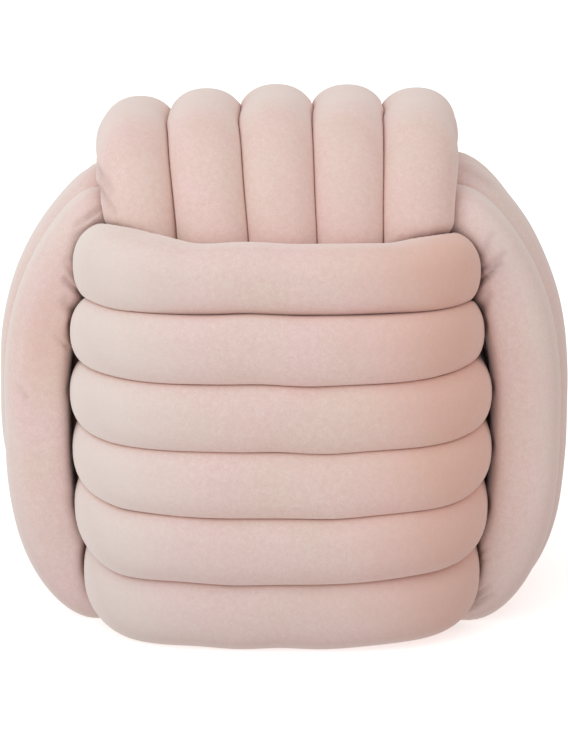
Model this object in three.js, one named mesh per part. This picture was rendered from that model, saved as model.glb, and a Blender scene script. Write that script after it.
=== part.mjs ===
// Knotted pouf of stuffed velvet tubes, in millimetres, +Z up, standing on z = 0, front towards -Y.
//
// Three bands of tubes go round the pouf. Every tube is a closed ring with its own centre line.
// Level loops lie flat and show as rows at the front and back. At the sides they pass inside the cross loops.
// Length loops stand front to back and show on top. At the front and back they pass inside the level loops.
// Cross loops stand left to right and show at the sides. On top they pass inside the length loops.
//
// A tube swells round its centre line up to its free radius, or until it meets a neighbour. The two then
// share a face midway between their centre lines, as soft tubes do.

import * as THREE from 'three';

const TUBE_RADIUS = 34;
const GAP = 0.5;
const SEAM_SHARPNESS = 28;

const SIDES = 12;
const STATIONS = 44;
const BEND_DENSITY = 80;
const CURVE_STEPS = 1440;
const SAMPLE_STEP = 7;
const NEIGHBOUR_REACH = 84;
const SETTLE_REACH = 120;
const SETTLE_PASSES = 10;
const SETTLE_SHARE = 0.6;

// A 12-sided section is a little thinner than its round tube, so its corners stand out by half of the loss.
const CORNER_SCALE = 2 / (1 + Math.cos(Math.PI / SIDES));

const LEVEL_SIDE_PASS = { from: 20, to: 160 };
const LEVEL_RISE_LEFT = { from: 110, to: 145 };
const LEVEL_RISE_RIGHT = { from: 50, to: 100 };
const LEVEL_SQUARENESS = 4;
const LEVEL_SWELL_LEFT = { from: 60, to: 130 };
const LEVEL_SWELL_RIGHT = { from: 85, to: 135 };
const EVEN_ROW = { radius: TUBE_RADIUS, riseLeft: 0, riseRight: 0 };

// z: height of the front and back rows; reach: centre line to the front and back;
// left, right: half widths at the rows' ends; sideX, sideZ: place of the hidden side passes at mid-depth;
// riseLeft, riseRight: lift of the front row's ends; leftRadius, rightRadius: free radius at fatter ends.
const LEVEL_LOOPS = [
  {
    z: 303, reach: 173, left: 145.5, right: 139, sideX: 130, sideZ: 285,
    radius: 30.5, leftRadius: 35, rightRadius: 33.5, riseLeft: 5.5,
  },
  { z: 250.5, reach: 176, left: 148, right: 137.5, sideX: 136, sideZ: 248 },
  { z: 194.7, reach: 176, left: 148, right: 144.5, sideX: 140, sideZ: 211 },
  { z: 141, reach: 176, left: 145, right: 146, sideX: 140, sideZ: 174, riseLeft: 3, riseRight: 2 },
  { z: 85.5, reach: 175, left: 145.5, right: 145, sideX: 134, sideZ: 137, riseLeft: 8, riseRight: 6 },
  {
    z: 30.5, reach: 173, left: 142.5, right: 143, sideX: 126, sideZ: 100,
    radius: 33, riseLeft: 5, riseRight: 3.5,
  },
].map((row) => ({ ...EVEN_ROW, ...row }));

const LENGTH_SQUARENESS = 3.4;
const LENGTH_CENTRE_Z = 200;
const LENGTH_BOTTOM_Z = 22;
const LENGTH_DEPTH = 120;
const LENGTH_MIDDLE_X = -1;
const LENGTH_HIDDEN_PITCH = 42;
const LENGTH_BOTTOM_PITCH = 47;
const LENGTH_BACK_NARROWING = 0.93;

// Angles round a length loop from its top, in degrees, between which it eases from one place to the next.
const LENGTH_DIP = { from: 15, to: 62 };
const LENGTH_HIDE = { from: 58, to: 88 };
const LENGTH_UNDER = { from: 110, to: 165 };

// topX, dipX: place across the pouf on top, and at the front where the tube dips behind the top row.
const LENGTH_LOOPS = [
  { topX: -123.5, dipX: -112, topZ: 384, radius: 31.5 },
  { topX: -66, dipX: -53.7, topZ: 389, radius: TUBE_RADIUS },
  { topX: -6, dipX: 1.5, topZ: 392, radius: TUBE_RADIUS },
  { topX: 53, dipX: 55.5, topZ: 391.5, radius: TUBE_RADIUS },
  { topX: 111, dipX: 107.5, topZ: 390, radius: 33 },
];

const CROSS_PITCH = 60;
const CROSS_CENTRE_Z = 182;
const CROSS_LOW_DEPTH = 192;
const CROSS_TOP_BLEND = { from: -0.4, to: 0.4 };
const CROSS_TOP_SQUARENESS = 2.35;
const CROSS_TOP_PRESS = { from: 100, to: 165 };
const CROSS_FLOOR_PRESS = { from: 110, to: 165 };
const CROSS_FLOOR_REST = { z: 24, bend: 12 };
const CROSS_UNDER_Z = { middle: 64, end: 30, from: 85, to: 150 };
const CROSS_SQUEEZE = { share: 0.28, from: 95, to: 160 };

// left, right: half widths; topLeft, topRight: heights that the side arcs aim for;
// squareLeft, squareRight: squareness of the lower corners;
// underZ: height of the pass under the length loops.
const CROSS_LOOPS = [
  { left: 195, right: 195, topLeft: 378, topRight: 375, squareLeft: 3.2, squareRight: 3.3, underZ: 322 },
  { left: 204.5, right: 204.5, topLeft: 379, topRight: 383, squareLeft: 2.45, squareRight: 4, underZ: 336 },
  { left: 199, right: 200, topLeft: 370, topRight: 378, squareLeft: 2.7, squareRight: 3, underZ: 336 },
  { left: 194, right: 196, topLeft: 358, topRight: 364, squareLeft: 2.8, squareRight: 2.8, underZ: 322 },
];

const UP = new THREE.Vector3(0, 0, 1);
const ACROSS = new THREE.Vector3(1, 0, 0);
const ALONG = new THREE.Vector3(0, 1, 0);

const mix = THREE.MathUtils.lerp;
const ease = (value, range) => THREE.MathUtils.smoothstep(value, range.from, range.to);

// One point of a superellipse with half axes of 1, at an angle from its first axis. Squareness 2 is a circle.
function superellipse(angle, squareness) {
  const c = Math.cos(angle);
  const s = Math.sin(angle);
  const scale = (Math.abs(c) ** squareness + Math.abs(s) ** squareness) ** (-1 / squareness);
  return [scale * c, scale * s];
}

function levelPoint(loop, angle) {
  const toRight = Math.sin(angle) > 0;
  const [u, v] = superellipse(angle, LEVEL_SQUARENESS);
  const y = -u * loop.reach;
  const rowX = v * (toRight ? loop.right : loop.left);
  const hidden = 1 - ease(Math.abs(y), LEVEL_SIDE_PASS);
  const lift = toRight
    ? loop.riseRight * ease(rowX, LEVEL_RISE_RIGHT)
    : loop.riseLeft * ease(-rowX, LEVEL_RISE_LEFT);
  const x = mix(rowX, Math.sign(v) * loop.sideX, hidden);
  return new THREE.Vector3(x, y, mix(loop.z + (y < 0 ? lift : 0), loop.sideZ, hidden));
}

function levelRadius(loop, point) {
  const { radius, leftRadius = radius, rightRadius = radius } = loop;
  return point.x > 0
    ? mix(radius, rightRadius, ease(point.x, LEVEL_SWELL_RIGHT))
    : mix(radius, leftRadius, ease(-point.x, LEVEL_SWELL_LEFT));
}

function lengthPoint(loop, angle, index) {
  const [u, v] = superellipse(angle, LENGTH_SQUARENESS);
  const halfHeight = u > 0 ? loop.topZ - LENGTH_CENTRE_Z : LENGTH_CENTRE_Z - LENGTH_BOTTOM_Z;
  const turn = THREE.MathUtils.radToDeg(Math.atan2(Math.abs(v), u));
  const place = index - (LENGTH_LOOPS.length - 1) / 2;
  const dipX = v > 0 ? loop.dipX : loop.topX * LENGTH_BACK_NARROWING;
  let x = mix(loop.topX, dipX, ease(turn, LENGTH_DIP));
  x = mix(x, LENGTH_MIDDLE_X + place * LENGTH_HIDDEN_PITCH, ease(turn, LENGTH_HIDE));
  x = mix(x, LENGTH_MIDDLE_X + place * LENGTH_BOTTOM_PITCH, ease(turn, LENGTH_UNDER));
  return new THREE.Vector3(x, -v * LENGTH_DEPTH, LENGTH_CENTRE_Z + u * halfHeight);
}

// A height that levels off smoothly towards that of a tube lying on the floor.
function restOnFloor(z) {
  const { z: rest, bend } = CROSS_FLOOR_REST;
  return (z + rest + Math.hypot(z - rest, bend)) / 2;
}

function crossPoint(loop, angle, index) {
  const upper = Math.sin(angle) > 0;
  const toRight = Math.cos(angle) > 0;
  const lowSquareness = toRight ? loop.squareRight : loop.squareLeft;
  const [u, v] = superellipse(angle, upper ? CROSS_TOP_SQUARENESS : lowSquareness);
  const topZ = mix(loop.topLeft, loop.topRight, ease(Math.cos(angle), CROSS_TOP_BLEND));
  const halfHeight = upper ? topZ - CROSS_CENTRE_Z : CROSS_LOW_DEPTH;
  const x = u * (toRight ? loop.right : loop.left);
  const arcZ = restOnFloor(CROSS_CENTRE_Z + v * halfHeight);
  const offset = Math.abs(x);
  const pressed = 1 - ease(offset, upper ? CROSS_TOP_PRESS : CROSS_FLOOR_PRESS);
  const lowZ = mix(CROSS_UNDER_Z.middle, CROSS_UNDER_Z.end, ease(offset, CROSS_UNDER_Z));
  const squeezed = upper ? pressed : 1 - ease(offset, CROSS_SQUEEZE);
  const place = index - (CROSS_LOOPS.length - 1) / 2;
  const y = place * CROSS_PITCH * (1 - CROSS_SQUEEZE.share * squeezed);
  return new THREE.Vector3(x, y, mix(arcZ, upper ? loop.underZ : lowZ, pressed));
}

// Points on a closed line at equal shares of its length, with more of them where it bends.
function resample(points, count, bendDensity) {
  const total = points.length;
  const at = (i) => points[(i + total) % total];
  const travel = [0];
  for (let i = 0; i < total; i += 1) {
    const before = at(i).clone().sub(at(i - 1)).normalize();
    const step = at(i + 1).clone().sub(at(i));
    const length = step.length();
    const bend = before.angleTo(step) / length;
    travel.push(travel[i] + length * (1 + bendDensity * bend));
  }
  const result = [];
  let i = 0;
  for (let k = 0; k < count; k += 1) {
    const goal = (travel[total] * k) / count;
    while (travel[i + 1] < goal) i += 1;
    const share = (goal - travel[i]) / (travel[i + 1] - travel[i]);
    result.push({
      point: at(i).clone().lerp(at(i + 1), share),
      tangent: at(i + 2).clone().sub(at(i - 1)).normalize(),
    });
  }
  return result;
}

function lineLength(points) {
  return points.reduce((sum, p, i) => sum + p.distanceTo(points[(i + 1) % points.length]), 0);
}

// A loop: its fine centre line for measuring, and its stations, each with the directions of its section.
function makeLoop(name, stackAxis, pointAt, radiusAt) {
  const angles = Array.from({ length: CURVE_STEPS }, (_, i) => (2 * Math.PI * i) / CURVE_STEPS);
  const line = angles.map(pointAt);
  const samples = resample(line, Math.round(lineLength(line) / SAMPLE_STEP), 0).map((s) => s.point);
  const stations = resample(line, STATIONS, BEND_DENSITY).map(({ point, tangent }) => {
    const outward = tangent.clone().cross(stackAxis).normalize();
    const sideways = outward.clone().cross(tangent);
    const directions = Array.from({ length: SIDES }, (_, j) => {
      const turn = (2 * Math.PI * (j + 0.5)) / SIDES;
      return outward.clone().multiplyScalar(Math.cos(turn)).addScaledVector(sideways, Math.sin(turn));
    });
    return { point, directions, freeRadius: radiusAt(point) * CORNER_SCALE, radii: [] };
  });
  return { name, samples, stations };
}

function nearby(samples, point, reach) {
  return samples.filter((s) => s.distanceToSquared(point) < reach * reach);
}

// How far a point can go from `centre` along `direction` and stay nearer to it, by GAP, than to `other`.
function meetingRadius(centre, direction, other) {
  const apart = other.clone().sub(centre);
  const closing = 2 * (GAP + apart.dot(direction));
  return closing > 0 ? (apart.lengthSq() - GAP * GAP) / closing : Infinity;
}

function swell(loop, loops) {
  const others = loops.filter((other) => other !== loop);
  for (const station of loop.stations) {
    const near = others
      .map((other) => nearby(other.samples, station.point, NEIGHBOUR_REACH))
      .filter((samples) => samples.length > 0);
    station.radii = station.directions.map((direction) => {
      const reaches = near.map((samples) =>
        Math.min(...samples.map((s) => meetingRadius(station.point, direction, s))));
      const limits = [station.freeRadius, ...reaches];
      return limits.reduce((sum, r) => sum + r ** -SEAM_SHARPNESS, 0) ** (-1 / SEAM_SHARPNESS);
    });
  }
}

// The underside is flat where the pouf stands: no point goes below z = 0.
function standOnFloor(loop) {
  for (const station of loop.stations) {
    station.radii = station.radii.map((radius, j) => {
      const down = -station.directions[j].z;
      return down > 0 ? Math.min(radius, station.point.z / down) : radius;
    });
  }
}

function vertex(loop, i, j) {
  const station = loop.stations[i % STATIONS];
  const side = j % SIDES;
  const onFloor = station.point.z + station.directions[side].z * station.radii[side];
  const point = station.point.clone().addScaledVector(station.directions[side], station.radii[side]);
  point.z = Math.abs(onFloor) < 1e-6 ? 0 : point.z;
  return point;
}

function nearest(samples, point) {
  return Math.sqrt(Math.min(...samples.map((s) => s.distanceToSquared(point))));
}

// The two triangles of a cell of the tube's surface, as [station, side] corners.
function cellTriangles(i, j) {
  return [
    [[i, j], [i + 1, j], [i + 1, j + 1]],
    [[i, j], [i + 1, j + 1], [i, j + 1]],
  ];
}

// Flat facets cut across hollow faces, so facets that reach past the shared face are drawn in.
function settle(loop, loops) {
  const others = loops.filter((other) => other !== loop).flatMap((other) => other.samples);
  const near = loop.stations.map((station) => ({
    own: nearby(loop.samples, station.point, SETTLE_REACH),
    other: nearby(others, station.point, SETTLE_REACH),
  }));
  for (let pass = 0; pass < SETTLE_PASSES; pass += 1) {
    const draw = loop.stations.map(() => new Array(SIDES).fill(0));
    for (let i = 0; i < STATIONS; i += 1) {
      for (let j = 0; j < SIDES; j += 1) {
        for (const corners of cellTriangles(i, j)) {
          const points = corners.map(([a, b]) => vertex(loop, a, b));
          const probes = points.map((p, k) => p.clone().lerp(points[(k + 1) % 3], 0.5));
          probes.push(points[0].clone().add(points[1]).add(points[2]).divideScalar(3));
          for (const probe of probes) {
            const excess = nearest(near[i].own, probe) + GAP - nearest(near[i].other, probe);
            for (const [a, b] of corners) {
              draw[a % STATIONS][b % SIDES] = Math.max(draw[a % STATIONS][b % SIDES], excess * SETTLE_SHARE);
            }
          }
        }
      }
    }
    loop.stations.forEach((station, i) => {
      station.radii = station.radii.map((radius, j) => radius - draw[i][j]);
    });
  }
}

function loopGeometry(loop) {
  const positions = [];
  const indices = [];
  for (let i = 0; i < STATIONS; i += 1) {
    for (let j = 0; j < SIDES; j += 1) {
      positions.push(...vertex(loop, i, j).toArray());
      for (const corners of cellTriangles(i, j)) {
        indices.push(...corners.map(([a, b]) => (a % STATIONS) * SIDES + (b % SIDES)));
      }
    }
  }
  const geometry = new THREE.BufferGeometry();
  geometry.setAttribute('position', new THREE.Float32BufferAttribute(positions, 3));
  geometry.setIndex(indices);
  geometry.computeVertexNormals();
  return geometry;
}

function loopMesh(loop) {
  const velvet = new THREE.MeshStandardMaterial({ color: 0xdcc3b9, roughness: 0.95, metalness: 0 });
  const mesh = new THREE.Mesh(loopGeometry(loop), velvet);
  mesh.name = loop.name;
  return mesh;
}

const bands = [
  LEVEL_LOOPS.map((row, i) => {
    const radiusAt = (point) => levelRadius(row, point);
    return makeLoop(`level_loop_${i + 1}`, UP, (angle) => levelPoint(row, angle), radiusAt);
  }),
  LENGTH_LOOPS.map((row, i) =>
    makeLoop(`length_loop_${i + 1}`, ACROSS, (angle) => lengthPoint(row, angle, i), () => row.radius)),
  CROSS_LOOPS.map((row, i) =>
    makeLoop(`cross_loop_${i + 1}`, ALONG, (angle) => crossPoint(row, angle, i), () => TUBE_RADIUS)),
];

const loops = bands.flat();
for (const loop of loops) {
  swell(loop, loops);
  standOnFloor(loop);
  settle(loop, loops);
}

const pouf = new THREE.Group();
for (const band of bands) {
  const group = new THREE.Group();
  group.add(...band.map(loopMesh));
  pouf.add(group);
}

export default pouf;
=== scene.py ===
# Looks for the knotted velvet pouf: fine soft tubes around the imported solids, velvet, light, floor, camera.
# The tubes' and the camera's sizes are in millimetres, as in the part's own source. The velvet's scales, the
# lights and the floor are in metres, as Blender's meshes are.

import math
from functools import partial

import bpy
import numpy as np
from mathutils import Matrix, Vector


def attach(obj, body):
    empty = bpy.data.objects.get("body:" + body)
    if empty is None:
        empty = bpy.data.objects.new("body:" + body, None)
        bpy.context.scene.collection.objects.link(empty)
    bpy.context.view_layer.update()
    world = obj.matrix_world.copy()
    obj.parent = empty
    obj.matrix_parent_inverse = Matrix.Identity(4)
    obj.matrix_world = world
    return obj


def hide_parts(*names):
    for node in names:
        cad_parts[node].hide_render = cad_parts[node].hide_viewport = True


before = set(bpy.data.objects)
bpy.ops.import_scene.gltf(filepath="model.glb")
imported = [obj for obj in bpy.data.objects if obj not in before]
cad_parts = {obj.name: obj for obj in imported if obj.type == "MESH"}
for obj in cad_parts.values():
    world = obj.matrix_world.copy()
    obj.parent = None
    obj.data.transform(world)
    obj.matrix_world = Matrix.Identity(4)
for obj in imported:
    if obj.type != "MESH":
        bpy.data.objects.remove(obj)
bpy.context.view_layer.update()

MM = 0.001
TINY = 1e-6

# The tubes are those of the part's source, measured more finely, with squarer sections and a slow sway, and
# with a few closer fits to the photograph: row 1's radii and left rise, row 6's radius, where the rows rise
# at the right, and how squarely cross loop 2 turns at its lower right.
TUBE_RADIUS = 34.0
CURVE_STEPS = 2880
SAMPLE_STEP = 3.5
NEIGHBOUR_REACH = 84.0

# Which way the tubes of a band are stacked, and the phase from which its tubes' unevenness starts
BANDS = dict(
    level=dict(stacked=(0, 0, 1), phase=0.3),
    length=dict(stacked=(1, 0, 0), phase=7.1),
    cross=dict(stacked=(0, 1, 0), phase=13.7),
)

# Distances from the pouf's middle between which a level loop eases: by depth from its side passes into its
# rows, and by width into the rise and the swell of a row's ends
LEVEL_SIDE_PASS = (20, 160)
LEVEL_RISE_LEFT = (110, 145)
LEVEL_RISE_RIGHT = (25, 130)
LEVEL_SQUARENESS = 4
LEVEL_SWELL_LEFT = (60, 130)
LEVEL_SWELL_RIGHT = (85, 135)

# What a level row has where its own entry doesn't say
EVEN_ROW = dict(radius=TUBE_RADIUS, rise_left=0, rise_right=0)

# z: height of the front and back rows; reach: centre line to the front and back;
# left, right: half widths at the rows' ends; side_x, side_z: place of the hidden side passes at mid-depth;
# rise_left, rise_right: lift of the front row's ends; left_radius, right_radius: free radius at fatter ends.
LEVEL_LOOPS = [
    dict(
        z=303, reach=173, left=145.5, right=139, side_x=130, side_z=285,
        radius=28, left_radius=35.5, right_radius=32.5, rise_left=8,
    ),
    dict(z=250.5, reach=176, left=148, right=137.5, side_x=136, side_z=248),
    dict(z=194.7, reach=176, left=148, right=144.5, side_x=140, side_z=211),
    dict(z=141, reach=176, left=145, right=146, side_x=140, side_z=174, rise_left=3, rise_right=2),
    dict(z=85.5, reach=175, left=145.5, right=145, side_x=134, side_z=137, rise_left=8, rise_right=6),
    dict(
        z=30.5, reach=173, left=142.5, right=143, side_x=126, side_z=100,
        radius=32, rise_left=5, rise_right=3.5,
    ),
]

# The shape that the length loops share, and how far apart they run where they don't show
LENGTH_SQUARENESS = 3.4
LENGTH_CENTRE_Z = 200
LENGTH_BOTTOM_Z = 22
LENGTH_DEPTH = 120
LENGTH_MIDDLE_X = -1
LENGTH_HIDDEN_PITCH = 42
LENGTH_BOTTOM_PITCH = 47
LENGTH_BACK_NARROWING = 0.93

# Angles round a length loop from its top, in degrees, between which it eases from one place to the next
LENGTH_DIP = (15, 62)
LENGTH_HIDE = (58, 88)
LENGTH_UNDER = (110, 165)

# top_x, dip_x: place across the pouf on top, and at the front where the tube dips behind the top row;
# top_z: height of the centre line on top; radius: free radius.
LENGTH_LOOPS = [
    dict(top_x=-123.5, dip_x=-112, top_z=384, radius=31.5),
    dict(top_x=-66, dip_x=-53.7, top_z=389, radius=TUBE_RADIUS),
    dict(top_x=-6, dip_x=1.5, top_z=392, radius=TUBE_RADIUS),
    dict(top_x=53, dip_x=55.5, top_z=391.5, radius=TUBE_RADIUS),
    dict(top_x=111, dip_x=107.5, top_z=390, radius=33),
]

# The cross loops' pitch from front to back, the shape that they share, and where they give way: they pass
# under the length loops at the top and over them at the bottom, lie on the floor, and are squeezed together
CROSS_PITCH = 60
CROSS_CENTRE_Z = 182
CROSS_LOW_DEPTH = 192
CROSS_TOP_BLEND = (-0.4, 0.4)
CROSS_TOP_SQUARENESS = 2.35
CROSS_TOP_PRESS = (100, 165)
CROSS_FLOOR_PRESS = (110, 165)
CROSS_FLOOR_REST = dict(z=24, bend=12)
CROSS_UNDER_Z = dict(middle=64, end=30, between=(85, 150))
CROSS_SQUEEZE = dict(share=0.28, between=(95, 160))

# left, right: half widths; top_left, top_right: heights that the side arcs aim for;
# square_left, square_right: squareness of the lower corners;
# under_z: height of the pass under the length loops.
CROSS_LOOPS = [
    dict(left=195, right=195, top_left=378, top_right=375, square_left=3.2, square_right=3.3, under_z=322),
    dict(
        left=204.5, right=204.5, top_left=379, top_right=383,
        square_left=2.45, square_right=3.7, under_z=336,
    ),
    dict(left=199, right=200, top_left=370, top_right=378, square_left=2.7, square_right=3, under_z=336),
    dict(left=194, right=196, top_left=358, top_right=364, square_left=2.8, square_right=2.8, under_z=322),
]

# How the cloth fills the room between neighbours. Where tubes of one band lie side by side, the seam is
# tight. Where bands cross, the cloth turns off in a wider curve, and taut cloth spans narrow hollows. The
# gaps and spans are in millimetres, and a higher sharpness gives a tighter turn. A mean along a tube takes
# in a few spans to each side.
GAP_BESIDE = 0.06
GAP_ACROSS = 0.8
SHARPNESS_BESIDE = 50
SHARPNESS_ACROSS = 14
TAUT_SPAN = dict(level=4.0, length=4.0, cross=30.0)
TAUT_SOFTNESS = 4.0
SMOOTHED_SPANS = 3

# Down the sides, the first and last cross loops stand off the hollows between the rows' ends. They reach
# inward from their centre lines by so much, from the foot's heights to the head's, and by the slack more
# elsewhere. Deep shade is painted into the pile's colour where it faces straight inward there, and where the
# rows run back between the side tubes.
SIDE_REACH = dict(left=21.0, right=24.0, foot=(40, 70), head=(235, 275), slack=25.0, from_back=(-0.5, 0.0))
SIDE_SHADE = (0.96, 1.0)
SIDE_SHARPNESS = 34
LEAST_INWARD = 0.05
ROW_END_SHADE = (114, 130)

# The free section of a tube is a little squarer than a circle, whose squareness is 2
SECTION_SQUARENESS = dict(level=2.4, length=2.2, cross=2.7)

# Painted shade darkens the pile's colour where a tube of another band presses it, from the near distance to
# the far one, and that painted shade is smoothed along the tube. Beside a seam with a tube of its own band, a
# warm painted seam shade shows instead.
PAINTED_CONTACT_SHADE_REACH = (0.2, 1.1)
PAINTED_CONTACT_SHADE_ON_TOP = 0.15
PAINTED_SEAM_SHADE_REACH = (0.2, 2.4)
SHADE_SPAN = 3.0

# A stuffed tube's slow unevenness: waves along it and round it, in whole turns, with their height
WAVES = [
    dict(along=5, around=0, height=0.30),
    dict(along=9, around=1, height=0.32),
    dict(along=13, around=-1, height=0.22),
    dict(along=17, around=2, height=0.14),
]

# The same for the slow sway of its centre line
DRIFT = [dict(along=6, height=0.5), dict(along=11, height=0.4), dict(along=16, height=0.25)]

# Creases in the front of some tubes, as seen from the front: lines from [x, z] to [x, z], deepest at the end
CREASES = dict(
    cross_loop_1=[
        dict(start=(171, 327), end=(159, 309), width=3.6, depth=2.9),
        dict(start=(181, 313), end=(159, 299), width=2.8, depth=3.6),
        dict(start=(177, 306), end=(158, 287), width=2.5, depth=5.5),
        dict(start=(166, 280), end=(160, 262), width=5.5, depth=2.6),
        dict(start=(174, 69), end=(164, 62), width=2.0, depth=1.0),
        dict(start=(178, 61), end=(164, 54), width=2.0, depth=1.0),
        dict(start=(171, 33), end=(156, 21), width=1.9, depth=3.6),
        dict(start=(173, 25), end=(150, 11), width=2.1, depth=4.4),
        dict(start=(-175, 306), end=(-163, 289), width=2.8, depth=2.2),
        dict(start=(-175, 292), end=(-158, 275), width=2.4, depth=5.7),
        dict(start=(-174, 272), end=(-165, 260), width=6.0, depth=3.1),
        dict(start=(-184, 244), end=(-174, 234), width=2.2, depth=1.8),
        dict(start=(-214, 200), end=(-207, 191), width=2.4, depth=1.8),
        dict(start=(-166, 335), end=(-148, 346), width=2.6, depth=2.9),
        dict(start=(-166, 326), end=(-148, 334), width=3.2, depth=2.3),
    ],
    cross_loop_2=[
        dict(start=(172, 356), end=(147, 371), width=4.0, depth=1.8),
        dict(start=(160, 370), end=(143, 377), width=3.6, depth=1.4),
    ],
    length_loop_1=[
        dict(start=(-134, 348), end=(-147, 362), width=4.2, depth=2.9),
        dict(start=(-136, 364), end=(-149, 375), width=4.4, depth=2.6),
    ],
)

# How far round to the front the creases reach, how deep they are at their starts as a share of their ends,
# and the painted shade in them, which is darkest where a crease is at least as deep as the shade's depth
CREASED_FRONT = (-0.2, 0.3)
CREASE_START = 0.5
CREASE_SHADE = 0.5
CREASE_SHADE_DEPTH = 4.0
CREASE_SHADE_FALLOFF = 2

# How fine the meshes are: stations along a tube, and points round it, closer together on its outer side.
# A tube with many creases has a finer mesh.
PLAIN_MESH = ((320, 72))
CREASED_MESH = ((720, 120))
MANY_CREASES = 5
OUTER_DENSITY = 0.4

# Painted shade and light by which way a surface faces: above 0 the colour is painted in warm shade, below 0
# in pale light. On the rows it grows with how far a surface faces right and up, and from left to right across
# the pouf. On the cross loops it changes from foot to body to top between the given heights, and falls where
# a surface faces outward.
LEVEL_PAINTED_LEAN = dict(across=0.58, half_width=173, up=0.2)
LENGTH_PAINTED_LEAN = 0.25
CROSS_PAINTED_LEAN = dict(
    left=dict(foot=0.02, body=0.47, top=-0.53, outward=0.8, edge=(0.2, 1.0)),
    right=dict(foot=0.54, body=0.52, top=-0.15, outward=1.13, edge=(-1.0, 1.0)),
    body_height=(150, 240),
    top_height=(240, 330),
)

# The pile's colours: the two tones of its cloudy nap, brushed patches and the shade between its hairs; then
# painted warm shade and pale light by facing, painted shade low down, a painted sheen at grazing angles,
# painted warm shade beside seams, and painted deep shade where tubes press, in creases and in hollows
NAP_PINK = (0.91, 0.70, 0.69, 1)
NAP_BEIGE = (0.865, 0.72, 0.655, 1)
NAP_BRUSHED = (0.80, 0.60, 0.56, 1)
NAP_DEEP = (0.72, 0.50, 0.45, 1)
NAP_PAINTED_WARM_SHADE = (0.80, 0.475, 0.38, 1)
NAP_PAINTED_PALE_LIGHT = (0.79, 0.70, 0.66, 1)
NAP_PAINTED_LOW_SHADE = (0.55, 0.42, 0.42, 1)
NAP_PAINTED_SHEEN = (0.95, 0.87, 0.82, 1)
NAP_PAINTED_SEAM_SHADE = (0.82, 0.57, 0.49, 1)
NAP_PAINTED_SHADE = (0.22, 0.09, 0.06, 1)

# The noises in the nap: waves a metre, detail, roughness, the values between which each one acts, and the
# share of its colour at most
CLOUD = dict(scale=16.0, detail=3, roughness=0.55, between=(0.36, 0.64), share=1)
BRUSHED = dict(scale=9.0, detail=4, roughness=0.6, between=(0.47, 0.6), share=0.22)
MOTTLE = dict(scale=240.0, detail=3, roughness=0.65, between=(0.3, 0.7), share=0.42)
GRAIN = dict(scale=700.0, detail=2, roughness=0.6, between=(0.3, 0.7), share=0.44)

# Where the painted colours show, and their shares at most: by the painted lean, by height in metres, by how
# far a face turns from the view, and by how far it is tucked in a seam
PAINTED_WARM_SHADE = dict(between=(0.1, 0.9), share=0.66)
PAINTED_PALE_LIGHT = dict(between=(-0.1, -0.9), share=0.66)
PAINTED_LOW_SHADE = dict(between=(0, 0.13), share=0.35)
PAINTED_SHEEN = dict(blend=0.5, between=(0.45, 1.0), share=0.6)
PAINTED_SEAM_SHADE_SHARE = 0.55

# What dims the painted sheen: the painted seam shade, a press, and the painted warm shade, which leaves a
# part of it
PAINTED_SHEEN_DIMMED = dict(painted_seam_shade=(0, 0.7), pressed=(0, 0.4), painted_warm_lean=(0.3, 0.9), left_by_painted_warm_shade=0.35)

PILE_BUMP = dict(strength=0.35, distance=0.0006)
PILE_ROUGHNESS = 0.95
PILE_SPECULAR = 0.1
SHEEN_WEIGHT = 0.3
SHEEN_ROUGHNESS = 0.45
SHEEN_TINT = (0.95, 0.97, 1.0, 1)

# The light: the direction of the sky's bright side, and its radiance towards and away from there
SKY_TOWARDS = (-0.55, -0.6, 0.58)
SKY_NEAR = (0.97, 1.03, 1.03, 1)
SKY_FAR = (0.50, 0.38, 0.34, 1)
SKY_FALLOFF = 1.3

# A weak round lamp from the upper left front
KEY_PLACE = (-0.95, -1.15, 1.25)
KEY_TARGET = (0, 0, 0.25)
KEY_SIZE = 1.5
KEY_POWER = 4.0
KEY_COLOUR = (1.0, 1.0, 1.0)

# A pale floor, which glows a little so that it shows white, and takes no part in the light on the pouf
FLOOR_HALF_SIZE = 12.0
FLOOR_COLOUR = (0.93, 0.93, 0.93, 1)
FLOOR_GLOW_COLOUR = (1, 1, 1, 1)
FLOOR_GLOW = 0.5
FLOOR_ROUGHNESS = 0.8

# The photograph's view, as fitted
CAMERA_ELEVATION = 14.0
CAMERA_AZIMUTH = 1.0
CAMERA_DISTANCE = 2800.0
CAMERA_TARGET_Z = 189.0
MM_PER_PIXEL = 0.85
FRAME_HEIGHT_PIXELS = 733
SENSOR = 36.0


def ease(value, start, end):
    """A smooth step from 0 at the start to 1 at the end."""
    share = np.clip((value - start) / (end - start), 0, 1)
    return share * share * (3 - 2 * share)


def mix(a, b, share):
    return a * (1 - share) + b * share


def superellipse(angle, squareness):
    """The point of a superellipse with half axes of 1, at an angle from its first axis."""
    c, s = np.cos(angle), np.sin(angle)
    scale = (np.abs(c) ** squareness + np.abs(s) ** squareness) ** (-1 / squareness)
    return scale * c, scale * s


def level_line(row, angle):
    to_right = np.sin(angle) > 0
    u, v = superellipse(angle, LEVEL_SQUARENESS)
    y = -u * row["reach"]
    row_x = v * np.where(to_right, row["right"], row["left"])
    hidden = 1 - ease(np.abs(y), *LEVEL_SIDE_PASS)
    lift_right = row["rise_right"] * ease(row_x, *LEVEL_RISE_RIGHT)
    lift_left = row["rise_left"] * ease(-row_x, *LEVEL_RISE_LEFT)
    row_z = row["z"] + np.where(y < 0, np.where(to_right, lift_right, lift_left), 0)
    x = mix(row_x, np.sign(v) * row["side_x"], hidden)
    return np.stack([x, y, mix(row_z, row["side_z"], hidden)], 1)


def level_radius(row, x):
    to_right = mix(row["radius"], row.get("right_radius", row["radius"]), ease(x, *LEVEL_SWELL_RIGHT))
    to_left = mix(row["radius"], row.get("left_radius", row["radius"]), ease(-x, *LEVEL_SWELL_LEFT))
    return np.where(x > 0, to_right, to_left)


def even_radius(radius, x):
    return np.full(len(x), float(radius))


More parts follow.
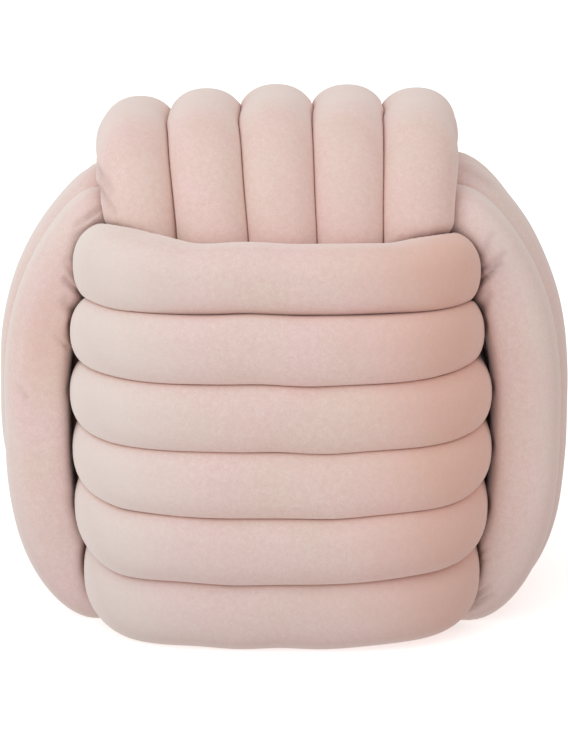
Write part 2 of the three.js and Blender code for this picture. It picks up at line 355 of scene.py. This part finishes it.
def length_line(row, place, angle):
    u, v = superellipse(angle, LENGTH_SQUARENESS)
    half_height = np.where(u > 0, row["top_z"] - LENGTH_CENTRE_Z, LENGTH_CENTRE_Z - LENGTH_BOTTOM_Z)
    turn = np.degrees(np.arctan2(np.abs(v), u))
    dip_x = np.where(v > 0, row["dip_x"], row["top_x"] * LENGTH_BACK_NARROWING)
    x = mix(row["top_x"], dip_x, ease(turn, *LENGTH_DIP))
    x = mix(x, LENGTH_MIDDLE_X + place * LENGTH_HIDDEN_PITCH, ease(turn, *LENGTH_HIDE))
    x = mix(x, LENGTH_MIDDLE_X + place * LENGTH_BOTTOM_PITCH, ease(turn, *LENGTH_UNDER))
    return np.stack([x, -v * LENGTH_DEPTH, LENGTH_CENTRE_Z + u * half_height], 1)


def rest_on_floor(z):
    """A height that levels off smoothly towards that of a tube lying on the floor."""
    rest, bend = CROSS_FLOOR_REST["z"], CROSS_FLOOR_REST["bend"]
    return (z + rest + np.hypot(z - rest, bend)) / 2


def cross_line(row, place, angle):
    upper = np.sin(angle) > 0
    to_right = np.cos(angle) > 0
    low_squareness = np.where(to_right, row["square_right"], row["square_left"])
    u, v = superellipse(angle, np.where(upper, CROSS_TOP_SQUARENESS, low_squareness))
    top_z = mix(row["top_left"], row["top_right"], ease(np.cos(angle), *CROSS_TOP_BLEND))
    half_height = np.where(upper, top_z - CROSS_CENTRE_Z, CROSS_LOW_DEPTH)
    x = u * np.where(to_right, row["right"], row["left"])
    arc_z = rest_on_floor(CROSS_CENTRE_Z + v * half_height)
    offset = np.abs(x)
    pressed = 1 - np.where(upper, ease(offset, *CROSS_TOP_PRESS), ease(offset, *CROSS_FLOOR_PRESS))
    low_z = mix(CROSS_UNDER_Z["middle"], CROSS_UNDER_Z["end"], ease(offset, *CROSS_UNDER_Z["between"]))
    squeezed = np.where(upper, pressed, 1 - ease(offset, *CROSS_SQUEEZE["between"]))
    y = place * CROSS_PITCH * (1 - CROSS_SQUEEZE["share"] * squeezed)
    return np.stack([x, y, mix(arc_z, np.where(upper, row["under_z"], low_z), pressed)], 1)


def line_length(points):
    return np.linalg.norm(np.roll(points, -1, 0) - points, axis=1).sum()


def resample(points, count):
    """Points at equal steps along a closed line."""
    closed = np.vstack([points, points[:1]])
    travel = np.concatenate([[0], np.cumsum(np.linalg.norm(np.diff(closed, axis=0), axis=1))])
    goals = np.linspace(0, travel[-1], count + 1)[:-1]
    return np.stack([np.interp(goals, travel, closed[:, k]) for k in range(3)], 1)


def unit(vectors):
    return vectors / np.linalg.norm(vectors, axis=1)[:, None]


def drift(count, seed):
    """A slow sway of a centre line, which makes the seams waver a little."""
    along = np.arange(count) / count * 2 * math.pi
    return sum(w["height"] * np.sin(w["along"] * along + seed * (1 + w["along"])) for w in DRIFT)


class Loop:
    """One tube: its centre line, and the directions of its sections."""

    def __init__(self, band, index, line, radius_at):
        self.name = f"{band}_loop_{index + 1}"
        self.band = band
        self.seed = index + BANDS[band]["phase"]
        many_creases = len(CREASES.get(self.name, [])) >= MANY_CREASES
        self.stations, self.sides = CREASED_MESH if many_creases else PLAIN_MESH
        stack_axis = BANDS[band]["stacked"]
        line = line + drift(len(line), self.seed)[:, None] * np.array(stack_axis)
        self.length = line_length(line)
        self.samples = resample(line, round(self.length / SAMPLE_STEP))
        self.centres = resample(line, self.stations)
        self.free_radius = radius_at(self.centres[:, 0])
        tangents = unit(np.roll(self.centres, -1, 0) - np.roll(self.centres, 1, 0))
        outward = unit(np.cross(tangents, stack_axis))
        sideways = np.cross(outward, tangents)
        even = np.arange(self.sides) * 2 * math.pi / self.sides
        self.turn = even - OUTER_DENSITY * np.sin(even)
        self.directions = (
            np.cos(self.turn)[None, :, None] * outward[:, None]
            + np.sin(self.turn)[None, :, None] * sideways[:, None]
        )

    def uneven_radius(self):
        """The radius of each point where no neighbour is near."""
        along = np.arange(self.stations)[:, None] / self.stations * 2 * math.pi
        section = np.hypot(*superellipse(self.turn, SECTION_SQUARENESS[self.band]))
        total = self.free_radius[:, None] * section
        for wave in WAVES:
            phase = self.seed * (2 + wave["along"])
            total += wave["height"] * np.sin(wave["along"] * along + wave["around"] * self.turn + phase)
        return total


def all_loops():
    angle = np.linspace(0, 2 * math.pi, CURVE_STEPS, endpoint=False)
    loops = []
    for i, sizes in enumerate(LEVEL_LOOPS):
        row = {**EVEN_ROW, **sizes}
        loops.append(Loop("level", i, level_line(row, angle), partial(level_radius, row)))
    for i, row in enumerate(LENGTH_LOOPS):
        line = length_line(row, i - (len(LENGTH_LOOPS) - 1) / 2, angle)
        loops.append(Loop("length", i, line, partial(even_radius, row["radius"])))
    for i, row in enumerate(CROSS_LOOPS):
        line = cross_line(row, i - (len(CROSS_LOOPS) - 1) / 2, angle)
        loops.append(Loop("cross", i, line, partial(even_radius, TUBE_RADIUS)))
    return loops


def meeting_radii(loop, samples, gap):
    """How far each point of a loop's sections can go before it is nearer to another centre line."""
    reach = np.full((loop.stations, loop.sides), np.inf)
    apart = samples[None] - loop.centres[:, None]
    square = (apart**2).sum(-1)
    stations = np.where(square.min(1) < NEIGHBOUR_REACH**2)[0]
    if len(stations) == 0:
        return reach
    used = np.where(square[stations].min(0) < NEIGHBOUR_REACH**2)[0]
    apart, square = apart[np.ix_(stations, used)], square[np.ix_(stations, used)]
    closing = 2 * (gap + np.einsum("skx,sqx->skq", loop.directions[stations], apart))
    radii = np.where(closing > TINY, (square[:, None] - gap**2) / np.maximum(closing, TINY), np.inf)
    reach[stations] = radii.min(-1)
    return reach


def smooth_along(loop, values, span):
    """The mean of values along a tube, by a bell curve whose spread is `span` millimetres."""
    step = loop.length / loop.stations
    reach = max(int(SMOOTHED_SPANS * span / step), 1)
    shifts = range(-reach, reach + 1)
    weights = [math.exp(-((k * step / span) ** 2) / 2) for k in shifts]
    return sum(w * np.roll(values, k, 0) for w, k in zip(weights, shifts)) / sum(weights)


def taut(loop, radii):
    """Cuts off swellings along the tube that are narrower than the hollow that taut cloth spans."""
    reach = round(TAUT_SPAN[loop.band] * loop.stations / loop.length)
    shifts = range(-reach, reach + 1)
    lowest = np.min([np.roll(radii, k, 0) for k in shifts], 0)
    spanned = np.max([np.roll(lowest, k, 0) for k in shifts], 0)
    return np.minimum(radii, smooth_along(loop, spanned, TAUT_SOFTNESS))


def side_edge(loop):
    """How far an outermost cross loop reaches towards the rows' ends, and the painted shade behind that edge.
    """
    front = np.sign(loop.centres[:, 1:2]) * loop.directions[..., 1]
    side = np.sign(loop.centres[:, :1])
    inward = -side * loop.directions[..., 0]
    height = loop.centres[:, 2:]
    here = ease(height, *SIDE_REACH["foot"]) * (1 - ease(height, *SIDE_REACH["head"]))
    here = here * ease(front, *SIDE_REACH["from_back"])
    reach = np.where(side > 0, SIDE_REACH["right"], SIDE_REACH["left"]) / np.maximum(inward, LEAST_INWARD)
    return reach + SIDE_REACH["slack"] * (1 - here), here * ease(inward, *SIDE_SHADE)


def crease(loop, radii):
    """Presses a loop's creases into its front, each a groove with low lips, and tells how much shade is
    painted in them.
    """
    points = loop.centres[:, None] + radii[..., None] * loop.directions
    in_front = ease(-loop.directions[..., 1], *CREASED_FRONT)
    painted_crease_shade = np.zeros_like(radii)
    for fold in CREASES.get(loop.name, []):
        run = np.subtract(fold["end"], fold["start"])
        offset = points[..., ::2] - fold["start"]
        share = np.clip(offset @ run / (run @ run), 0, 1)
        away = np.linalg.norm(offset - share[..., None] * run, axis=-1)
        deep = fold["depth"] * mix(CREASE_START, 1, share) * in_front
        square = (away / fold["width"]) ** 2
        radii = radii - deep * (1 - square) * np.exp(-square)
        # Painted shade along the crease
        painted_crease_shade = np.maximum(painted_crease_shade, deep / CREASE_SHADE_DEPTH * np.exp(-CREASE_SHADE_FALLOFF * square))
    return radii, np.minimum(painted_crease_shade, 1)


def painted_contact_shade_strength(band, other_band):
    """How dark the painted shade is where tubes of two bands press each other. On top, where light gets in,
    it is paler.
    """
    return PAINTED_CONTACT_SHADE_ON_TOP if {band, other_band} == {"length", "cross"} else 1


def swell(loop, loops):
    """The radius of each point of a loop, and its painted shade from presses, creases, hollows and seams."""
    free = loop.uneven_radius()
    beside = free**-SHARPNESS_BESIDE
    across = np.zeros_like(free)
    nearest = {band: np.full_like(free, np.inf) for band in BANDS}
    for other in loops:
        if other is loop:
            continue
        gap = GAP_BESIDE if other.band == loop.band else GAP_ACROSS
        reach = meeting_radii(loop, other.samples, gap)
        nearest[other.band] = np.minimum(nearest[other.band], reach)
        if other.band == loop.band:
            beside += reach**-SHARPNESS_BESIDE
        else:
            across += reach**-SHARPNESS_BESIDE
    share = SHARPNESS_ACROSS / SHARPNESS_BESIDE
    pull = beside**share + across**share
    hidden = np.zeros_like(free)
    radii = pull ** (-1 / SHARPNESS_ACROSS)
    if loop.name in ("cross_loop_1", f"cross_loop_{len(CROSS_LOOPS)}"):
        # The side tube's inner edge, and the painted deep shade behind it
        edge, hidden = side_edge(loop)
        radii = (radii**-SIDE_SHARPNESS + edge**-SIDE_SHARPNESS) ** (-1 / SIDE_SHARPNESS)
    radii = taut(loop, radii)
    if loop.band == "level":
        # Painted deep shade where the rows run back between the side tubes
        depth = np.abs(loop.centres[:, None, 1] + radii * loop.directions[..., 1])
        hidden = 1 - ease(depth, *ROW_END_SHADE)
    radii, painted_shade = crease(loop, radii)
    painted_shade = np.maximum(hidden, CREASE_SHADE * painted_shade)
    # Painted shade where a tube of another band presses this one
    for band in nearest:
        if band != loop.band:
            near = 1 - ease(nearest[band] - radii, *PAINTED_CONTACT_SHADE_REACH)
            painted_shade = np.maximum(painted_shade, painted_contact_shade_strength(band, loop.band) * near)
    # Painted warm shade beside a seam with a tube of the same band
    painted_seam_shade = 1 - ease(nearest[loop.band] - radii, *PAINTED_SEAM_SHADE_REACH)
    down = -loop.directions[..., 2]
    floor_reach = np.where(down > TINY, loop.centres[:, None, 2] / np.maximum(down, TINY), np.inf)
    return np.minimum(radii, floor_reach), smooth_along(loop, painted_shade, SHADE_SPAN), painted_seam_shade


def painted_lean(loop):
    """Painted shade or light at each point by which way it faces: warm shade above 0, pale light below 0."""
    facing = loop.directions[..., 0]
    if loop.band == "level":
        place = loop.centres[:, :1] / LEVEL_PAINTED_LEAN["half_width"]
        return facing + LEVEL_PAINTED_LEAN["across"] * place + LEVEL_PAINTED_LEAN["up"] * loop.directions[..., 2]
    if loop.band == "cross":
        body = ease(loop.centres[:, 2:], *CROSS_PAINTED_LEAN["body_height"])
        top = ease(loop.centres[:, 2:], *CROSS_PAINTED_LEAN["top_height"])
        painted_leans = []
        for painted_side, outward in ((CROSS_PAINTED_LEAN["left"], -facing), (CROSS_PAINTED_LEAN["right"], facing)):
            upward = mix(painted_side["foot"], painted_side["body"], body) + painted_side["top"] * top
            painted_leans.append(upward - painted_side["outward"] * ease(outward, *painted_side["edge"]))
        return np.where(loop.centres[:, :1] > 0, painted_leans[1], painted_leans[0])
    return np.full((loop.stations, loop.sides), LENGTH_PAINTED_LEAN)


def tube_mesh(loop, radii, pressed, painted_seam_shade):
    """A closed mesh of four-sided faces, which holds the painted shade and light at each point."""
    points = (loop.centres[:, None] + radii[..., None] * loop.directions) * MM
    i = np.arange(loop.stations)[:, None]
    j = np.arange(loop.sides)[None]
    next_i, next_j = (i + 1) % loop.stations, (j + 1) % loop.sides
    corners = [
        i * loop.sides + j,
        next_i * loop.sides + j,
        next_i * loop.sides + next_j,
        i * loop.sides + next_j,
    ]
    faces = np.stack([np.broadcast_to(c, (loop.stations, loop.sides)) for c in corners], -1).reshape(-1, 4)
    mesh = bpy.data.meshes.new(loop.name)
    mesh.from_pydata(points.reshape(-1, 3).tolist(), [], faces.tolist())
    mesh.shade_smooth()
    for name, values in (("pressed", pressed), ("painted_seam_shade", painted_seam_shade), ("painted_lean", painted_lean(loop))):
        mesh.attributes.new(name, "FLOAT", "POINT").data.foreach_set("value", values.ravel())
    return mesh


class Nodes:
    """Short calls that add and link a material's nodes."""

    def __init__(self, tree):
        self.tree = tree

    def add(self, kind, inputs=None, **settings):
        node = self.tree.nodes.new(kind)
        for key, value in settings.items():
            setattr(node, key, value)
        for key, value in (inputs or {}).items():
            if isinstance(value, bpy.types.NodeSocket):
                self.tree.links.new(value, node.inputs[key])
            else:
                node.inputs[key].default_value = value
        return node

    def noise(self, place, sizes):
        inputs = {
            "Vector": place,
            "Scale": sizes["scale"],
            "Detail": sizes["detail"],
            "Roughness": sizes["roughness"],
        }
        return self.add("ShaderNodeTexNoise", inputs).outputs["Fac"]

    def remap(self, value, between, to):
        low, high = between
        to_low, to_high = to
        inputs = {"Value": value, "From Min": low, "From Max": high, "To Min": to_low, "To Max": to_high}
        return self.add("ShaderNodeMapRange", inputs).outputs["Result"]

    def point_value(self, name):
        return self.add("ShaderNodeAttribute", attribute_name=name).outputs["Fac"]

    def math(self, operation, a, b):
        return self.add("ShaderNodeMath", {0: a, 1: b}, operation=operation).outputs[0]

    def mix(self, a, b, share):
        node = self.add("ShaderNodeMix", {"Factor": share}, data_type="RGBA")
        for socket, value in ((node.inputs[6], a), (node.inputs[7], b)):
            if isinstance(value, bpy.types.NodeSocket):
                self.tree.links.new(value, socket)
            else:
                socket.default_value = value
        return node.outputs[2]


def velvet():
    """Short-pile velvet: blush pink, cloudy nap, fine grain, pale sheen at grazing angles, painted shade and
    light.
    """
    material = bpy.data.materials.new("velvet")
    material.use_nodes = True
    tree = material.node_tree
    shader = tree.nodes["Principled BSDF"]
    make = Nodes(tree)
    place = make.add("ShaderNodeTexCoord").outputs["Object"]

    painted_lean_value = make.point_value("painted_lean")
    pressed = make.point_value("pressed")
    painted_seam_shade = make.point_value("painted_seam_shade")
    height = make.add("ShaderNodeSeparateXYZ", {"Vector": place}).outputs["Z"]
    edge = make.add("ShaderNodeLayerWeight", {"Blend": PAINTED_SHEEN["blend"]}).outputs["Facing"]
    grain = make.noise(place, GRAIN)

    cloudy = make.remap(make.noise(place, CLOUD), CLOUD["between"], (0, CLOUD["share"]))
    colour = make.mix(NAP_PINK, NAP_BEIGE, cloudy)
    brushed = make.remap(make.noise(place, BRUSHED), BRUSHED["between"], (0, BRUSHED["share"]))
    colour = make.mix(colour, NAP_BRUSHED, brushed)
    mottled = make.remap(make.noise(place, MOTTLE), MOTTLE["between"], (MOTTLE["share"], 0))
    colour = make.mix(colour, NAP_DEEP, mottled)
    colour = make.mix(colour, NAP_DEEP, make.remap(grain, GRAIN["between"], (GRAIN["share"], 0)))
    # Painted warm shade and pale light, by which way a surface faces
    colour = make.mix(colour, NAP_PAINTED_WARM_SHADE, make.remap(painted_lean_value, PAINTED_WARM_SHADE["between"], (0, PAINTED_WARM_SHADE["share"])))
    colour = make.mix(colour, NAP_PAINTED_PALE_LIGHT, make.remap(painted_lean_value, PAINTED_PALE_LIGHT["between"], (0, PAINTED_PALE_LIGHT["share"])))
    # Painted shade low down, near the floor
    colour = make.mix(colour, NAP_PAINTED_LOW_SHADE, make.remap(height, PAINTED_LOW_SHADE["between"], (PAINTED_LOW_SHADE["share"], 0)))

    # Painted sheen: a pale rim painted into the colour where a face turns from the view
    painted_sheen = make.remap(edge, PAINTED_SHEEN["between"], (0, PAINTED_SHEEN["share"]))
    painted_sheen = make.math("MULTIPLY", painted_sheen, make.remap(painted_seam_shade, PAINTED_SHEEN_DIMMED["painted_seam_shade"], (1, 0)))
    painted_sheen = make.math("MULTIPLY", painted_sheen, make.remap(pressed, PAINTED_SHEEN_DIMMED["pressed"], (1, 0)))
    left_by_painted_warm_shade = make.remap(painted_lean_value, PAINTED_SHEEN_DIMMED["painted_warm_lean"], (1, PAINTED_SHEEN_DIMMED["left_by_painted_warm_shade"]))
    painted_sheen = make.math("MULTIPLY", painted_sheen, left_by_painted_warm_shade)
    colour = make.mix(colour, NAP_PAINTED_SHEEN, painted_sheen)
    # Painted warm shade beside seams, standing in for light bounced between the tubes
    colour = make.mix(colour, NAP_PAINTED_SEAM_SHADE, make.remap(painted_seam_shade, (0, 1), (0, PAINTED_SEAM_SHADE_SHARE)))
    # Painted deep shade from presses, creases and hollows, carried by the pressed value
    colour = make.mix(colour, NAP_PAINTED_SHADE, pressed)
    tree.links.new(colour, shader.inputs["Base Color"])

    bump_inputs = {"Strength": PILE_BUMP["strength"], "Distance": PILE_BUMP["distance"], "Height": grain}
    bump = make.add("ShaderNodeBump", bump_inputs)
    tree.links.new(bump.outputs["Normal"], shader.inputs["Normal"])
    shader.inputs["Roughness"].default_value = PILE_ROUGHNESS
    shader.inputs["Specular IOR Level"].default_value = PILE_SPECULAR
    shader.inputs["Sheen Weight"].default_value = SHEEN_WEIGHT
    shader.inputs["Sheen Roughness"].default_value = SHEEN_ROUGHNESS
    shader.inputs["Sheen Tint"].default_value = SHEEN_TINT
    return material


def make_tubes():
    loops = all_loops()
    cloth = velvet()
    for loop in loops:
        mesh = tube_mesh(loop, *swell(loop, loops))
        mesh.materials.append(cloth)
        piece = bpy.data.objects.new(f"{loop.name}_velvet", mesh)
        bpy.context.scene.collection.objects.link(piece)
        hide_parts(loop.name)
        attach(piece, "root")


def make_floor():
    size = FLOOR_HALF_SIZE
    mesh = bpy.data.meshes.new("floor")
    corners = [(-size, -size, 0), (size, -size, 0), (size, size, 0), (-size, size, 0)]
    mesh.from_pydata(corners, [], [(0, 1, 2, 3)])
    paint = bpy.data.materials.new("floor_paint")
    paint.use_nodes = True
    shader = paint.node_tree.nodes["Principled BSDF"]
    shader.inputs["Base Color"].default_value = FLOOR_COLOUR
    shader.inputs["Emission Color"].default_value = FLOOR_GLOW_COLOUR
    shader.inputs["Emission Strength"].default_value = FLOOR_GLOW
    shader.inputs["Roughness"].default_value = FLOOR_ROUGHNESS
    mesh.materials.append(paint)
    floor = bpy.data.objects.new("floor", mesh)
    floor.visible_diffuse = False
    floor.visible_glossy = False
    floor.visible_shadow = False
    bpy.context.scene.collection.objects.link(floor)


def make_key():
    data = bpy.data.lights.new("key", "AREA")
    data.shape = "DISK"
    data.size = KEY_SIZE
    data.energy = KEY_POWER
    data.color = KEY_COLOUR
    key = bpy.data.objects.new("key", data)
    key.location = KEY_PLACE
    key.rotation_euler = (Vector(KEY_TARGET) - Vector(KEY_PLACE)).to_track_quat("-Z", "Y").to_euler()
    key.visible_camera = False
    bpy.context.scene.collection.objects.link(key)


def make_light():
    """One wide soft sky: bright and cool at the upper left, dimmer and warmer at the lower right."""
    world = bpy.data.worlds.new("studio")
    world.use_nodes = True
    make = Nodes(world.node_tree)
    heading = make.add("ShaderNodeTexCoord").outputs["Generated"]
    bright_side = make.add("ShaderNodeVectorMath", {0: heading, 1: SKY_TOWARDS}, operation="DOT_PRODUCT")
    towards = make.remap(bright_side.outputs["Value"], (-1, 1), (0, 1))
    share = make.math("POWER", towards, SKY_FALLOFF)
    background = world.node_tree.nodes["Background"]
    world.node_tree.links.new(make.mix(SKY_FAR, SKY_NEAR, share), background.inputs["Color"])
    bpy.context.scene.world = world


def make_camera():
    elevation, azimuth = math.radians(CAMERA_ELEVATION), math.radians(CAMERA_AZIMUTH)
    back = Vector((
        math.sin(azimuth) * math.cos(elevation),
        -math.cos(azimuth) * math.cos(elevation),
        math.sin(elevation),
    ))
    data = bpy.data.cameras.new("camera")
    data.sensor_width = SENSOR
    data.lens = SENSOR * CAMERA_DISTANCE / (FRAME_HEIGHT_PIXELS * MM_PER_PIXEL)
    camera = bpy.data.objects.new("camera", data)
    camera.location = Vector((0, 0, CAMERA_TARGET_Z * MM)) + back * CAMERA_DISTANCE * MM
    camera.rotation_euler = back.to_track_quat("Z", "Y").to_euler()
    bpy.context.scene.collection.objects.link(camera)
    bpy.context.scene.camera = camera


bpy.context.scene.view_settings.view_transform = "Standard"
make_camera()
make_floor()
make_light()
make_key()
make_tubes()
